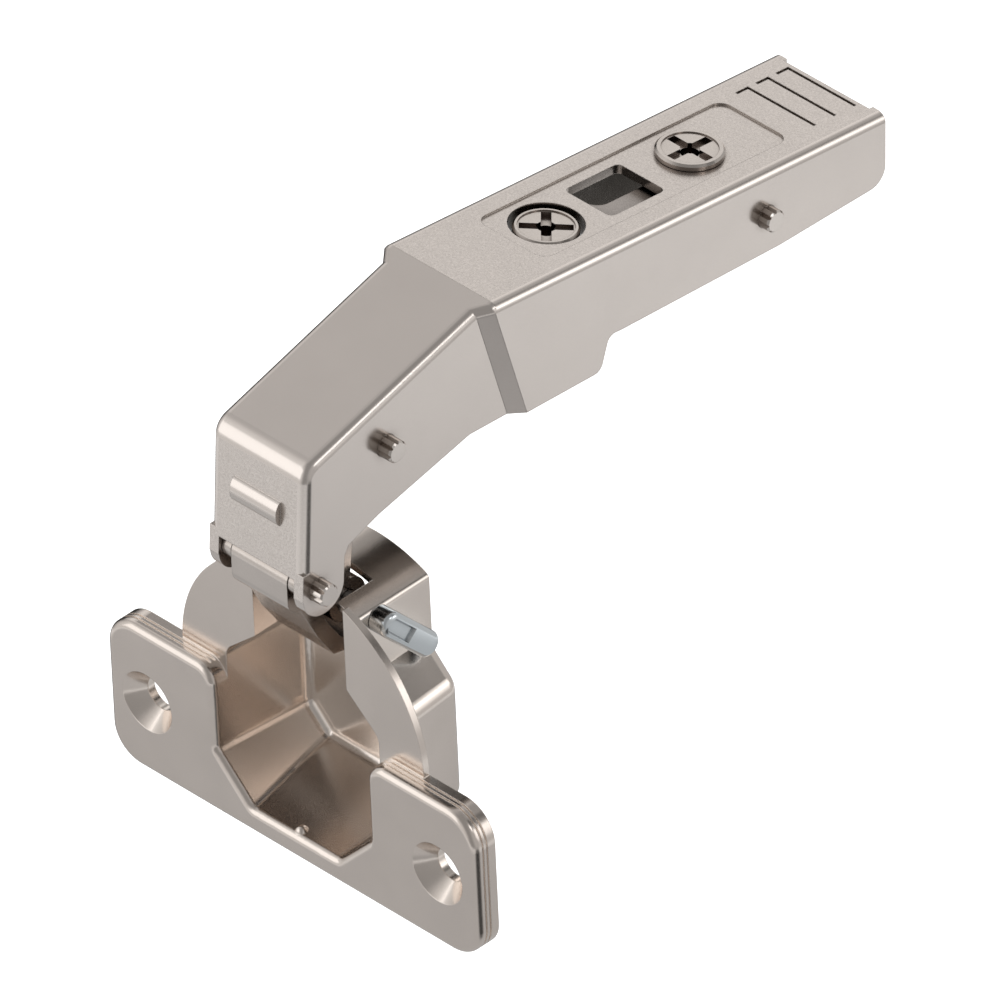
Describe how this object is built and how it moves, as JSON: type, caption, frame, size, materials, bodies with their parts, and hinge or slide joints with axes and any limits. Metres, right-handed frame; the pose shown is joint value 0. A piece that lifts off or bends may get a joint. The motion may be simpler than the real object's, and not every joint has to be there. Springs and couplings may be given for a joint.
{
  "type": "concealed cabinet hinge",
  "caption": "Concealed clip-on hinge with a cranked arm for a blind corner door, a 35 mm drawn cup with screw flange, and a four-link pivot, shown open.",
  "frame": {"origin": "centre of the cup on the front plane of its screw flange", "axes": "X along the pivots (the cup's width), +Y into the door along the cup's depth, +Z from the flange towards the arm"},
  "size_m": [0.057, 0.0896, 0.0653],
  "materials": {
    "cup_steel": "satin nickel",
    "arm_steel": "satin nickel",
    "link_steel": "satin",
    "adapter_steel": "satin",
    "rivet_steel": "satin",
    "zinc_pin": "bright zinc",
    "screw_steel": "satin",
    "spring_steel": "bare spring steel"
  },
  "bodies": {
    "cup_body": {"cup": "cup_steel", "cup_pin": "zinc_pin", "closing_spring": "spring_steel"},
    "outer_link_body": {"outer_link": "link_steel"},
    "inner_link_body": {"inner_link": "link_steel"},
    "arm_body": {"hinge_arm": "arm_steel", "front_rivet": "rivet_steel", "middle_rivet": "rivet_steel", "rear_rivet": "rivet_steel", "left_link_spacer": "link_steel", "right_link_spacer": "link_steel", "side_screw_nut": "zinc_pin"},
    "side_screw_body": {"side_screw": "screw_steel"},
    "depth_screw_body": {"depth_screw": "screw_steel"},
    "adapter_body": {"adapter": "adapter_steel", "hook_pin": "rivet_steel", "clip_pin": "rivet_steel", "clip_spring": "spring_steel"},
    "clip_lever_body": {"clip_lever": "adapter_steel"}
  },
  "joints": [
    {"name": "outer_link_pivot", "type": "hinge", "parent": "cup_body", "child": "outer_link_body", "pos_m": [0, 0.012, 0.0086], "axis": [1, 0, 0], "range_deg": [0, 103.9]},
    {"name": "inner_link_pivot", "type": "hinge", "parent": "cup_body", "child": "inner_link_body", "pos_m": [0, 0.0068, 0.0142], "axis": [1, 0, 0], "range_deg": [0, 130.7]},
    {"name": "arm_pivot", "type": "hinge", "parent": "outer_link_body", "child": "arm_body", "pos_m": [0, -0.0013, 0.0223], "axis": [1, 0, 0], "range_deg": [-8.95, 0]},
    {"name": "adapter_slide", "type": "slide", "parent": "arm_body", "child": "adapter_body", "axis": [0, 0.9925, -0.1219], "range_m": [-0.002, 0.002]},
    {"name": "depth_screw_turn", "type": "hinge", "parent": "arm_body", "child": "depth_screw_body", "pos_m": [0, 0.06421, 0.04147], "axis": [0, 0.1219, 0.9925], "range_deg": [-180, 180]},
    {"name": "side_screw_turn", "type": "hinge", "parent": "arm_body", "child": "side_screw_body", "pos_m": [0, 0.04218, 0.04418], "axis": [0, 0.1219, 0.9925], "range_deg": [-360, 360]},
    {"name": "clip_lever_pivot", "type": "hinge", "parent": "adapter_body", "child": "clip_lever_body", "pos_m": [0, 0.07462, 0.03515], "axis": [1, 0, 0], "range_deg": [0, 10], "stiffness_Nm_per_rad": 0.05, "springref_deg": -17.19, "deforming": ["clip_spring"]}
  ],
  "couplings": [
    {"joint": "arm_pivot", "follows": "outer_link_pivot", "ratio": -0.0857},
    {"joint": "inner_link_pivot", "follows": "outer_link_pivot", "ratio": 1.257},
    {"joint": "depth_screw_turn", "follows": "adapter_slide", "rad_per_m": 1570}
  ]
}
